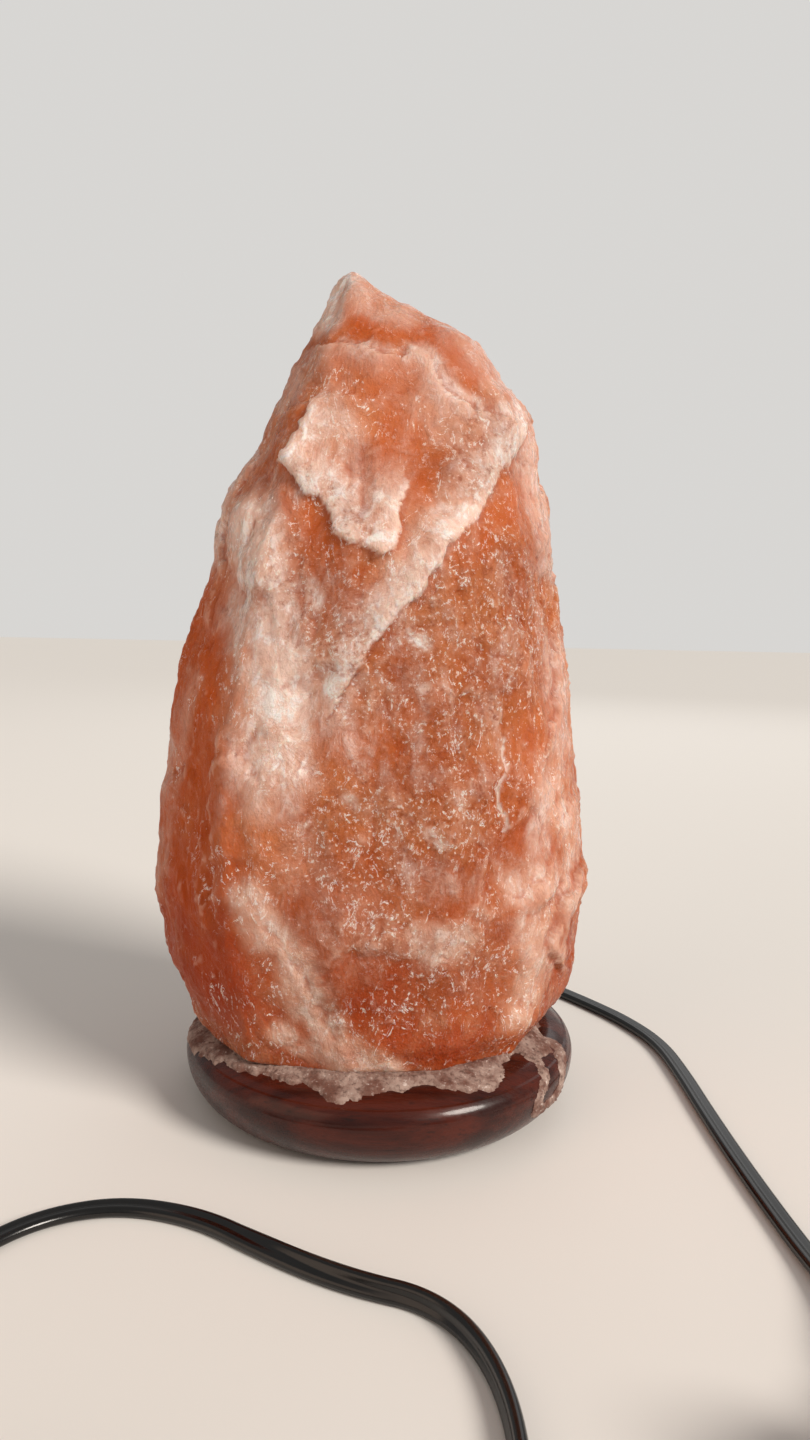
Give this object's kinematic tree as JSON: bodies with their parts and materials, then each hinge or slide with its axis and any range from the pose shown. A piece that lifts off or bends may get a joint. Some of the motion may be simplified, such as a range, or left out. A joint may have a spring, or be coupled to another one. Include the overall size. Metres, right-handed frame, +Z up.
{
  "type": "salt crystal lamp",
  "caption": "Rough-hewn pink-orange rock salt lamp on a turned dark wooden base, with a clip-in bulb holder, flat twin cord, inline rotary dimmer and two-blade plug.",
  "frame": {"origin": "on the standing plane, under the centre of the wooden base", "axes": "+Z up through the crystal; the pictured front faces -Y; the cord leaves the base towards +Y"},
  "size_m": [0.2436, 0.4323, 0.286],
  "materials": {
    "rock_salt": "hewn rock salt, pink orange with paler veins, rough with small bright cleavage faces",
    "dark_wood": "turned hardwood, dark red-brown stain, polished lacquer",
    "feet_rubber": "soft moulded rubber",
    "adhesive": "cured adhesive",
    "holder_plastic": "moulded thermoset, satin",
    "brass": "pressed brass",
    "spring_steel": "stamped spring steel",
    "cord_grip_rubber": "moulded rubber",
    "solder": "tinned contact",
    "insulator_glass": "fused black insulator",
    "bulb_glass": "clear blown glass",
    "filament_wire": "drawn tungsten wire",
    "cord_pvc": "black extruded PVC, slight gloss",
    "dimmer_plastic": "black moulded plastic, fine texture",
    "wheel_plastic": "black moulded plastic, ribbed edge",
    "circuit_board": "laminate with green mask",
    "component_plastic": "moulded component bodies",
    "boot_rubber": "black moulded PVC",
    "plug_pvc": "black moulded PVC",
    "plug_brass": "nickel-plated brass"
  },
  "bodies": {
    "cord_set": {"centre_contact": "brass", "contact_carrier": "holder_plastic", "cord_coil": "cord_pvc", "cord_grip": "cord_grip_rubber", "cord_inner": "cord_pvc", "cord_lead": "cord_pvc", "cord_run": "cord_pvc", "cord_tail": "cord_pvc", "dimmer_board": "circuit_board", "dimmer_capacitor": "component_plastic", "dimmer_inlet_boot": "boot_rubber", "dimmer_lower_case": "dimmer_plastic", "dimmer_outlet_boot": "boot_rubber", "dimmer_potentiometer": "component_plastic", "dimmer_screws": "spring_steel", "dimmer_triac": "component_plastic", "dimmer_upper_case": "dimmer_plastic", "holder_cap": "holder_plastic", "holder_shell": "holder_plastic", "plug_body": "plug_pvc", "plug_narrow_blade": "plug_brass", "plug_wide_blade": "plug_brass", "screw_shell": "brass", "spring_clip": "spring_steel", "terminal_screws": "brass"},
    "lamp_body": {"salt_crystal": "rock_salt", "bond_ring": "adhesive", "wood_base": "dark_wood", "rubber_feet": "feet_rubber"},
    "bulb": {"bulb_glass": "bulb_glass", "bulb_cap": "brass", "bulb_insulator": "insulator_glass", "bulb_contact": "solder", "bulb_stem": "bulb_glass", "bulb_filament": "filament_wire"},
    "control_wheel": {"dimmer_wheel": "wheel_plastic", "wheel_shaft": "wheel_plastic"}
  },
  "joints": [
    {"name": "lamp_lift_off", "type": "slide", "parent": "cord_set", "child": "lamp_body", "axis": [0, 0, 1], "range_m": [0, 0.125]},
    {"name": "bulb_unscrew", "type": "slide", "parent": "cord_set", "child": "bulb", "axis": [0, 0, 1], "range_m": [0, 0.018]},
    {"name": "dimmer_turn", "type": "hinge", "parent": "cord_set", "child": "control_wheel", "pos_m": [0.10966, -0.19517, 0.0205], "axis": [0, 0, -1], "range_deg": [0, 270]}
  ]
}
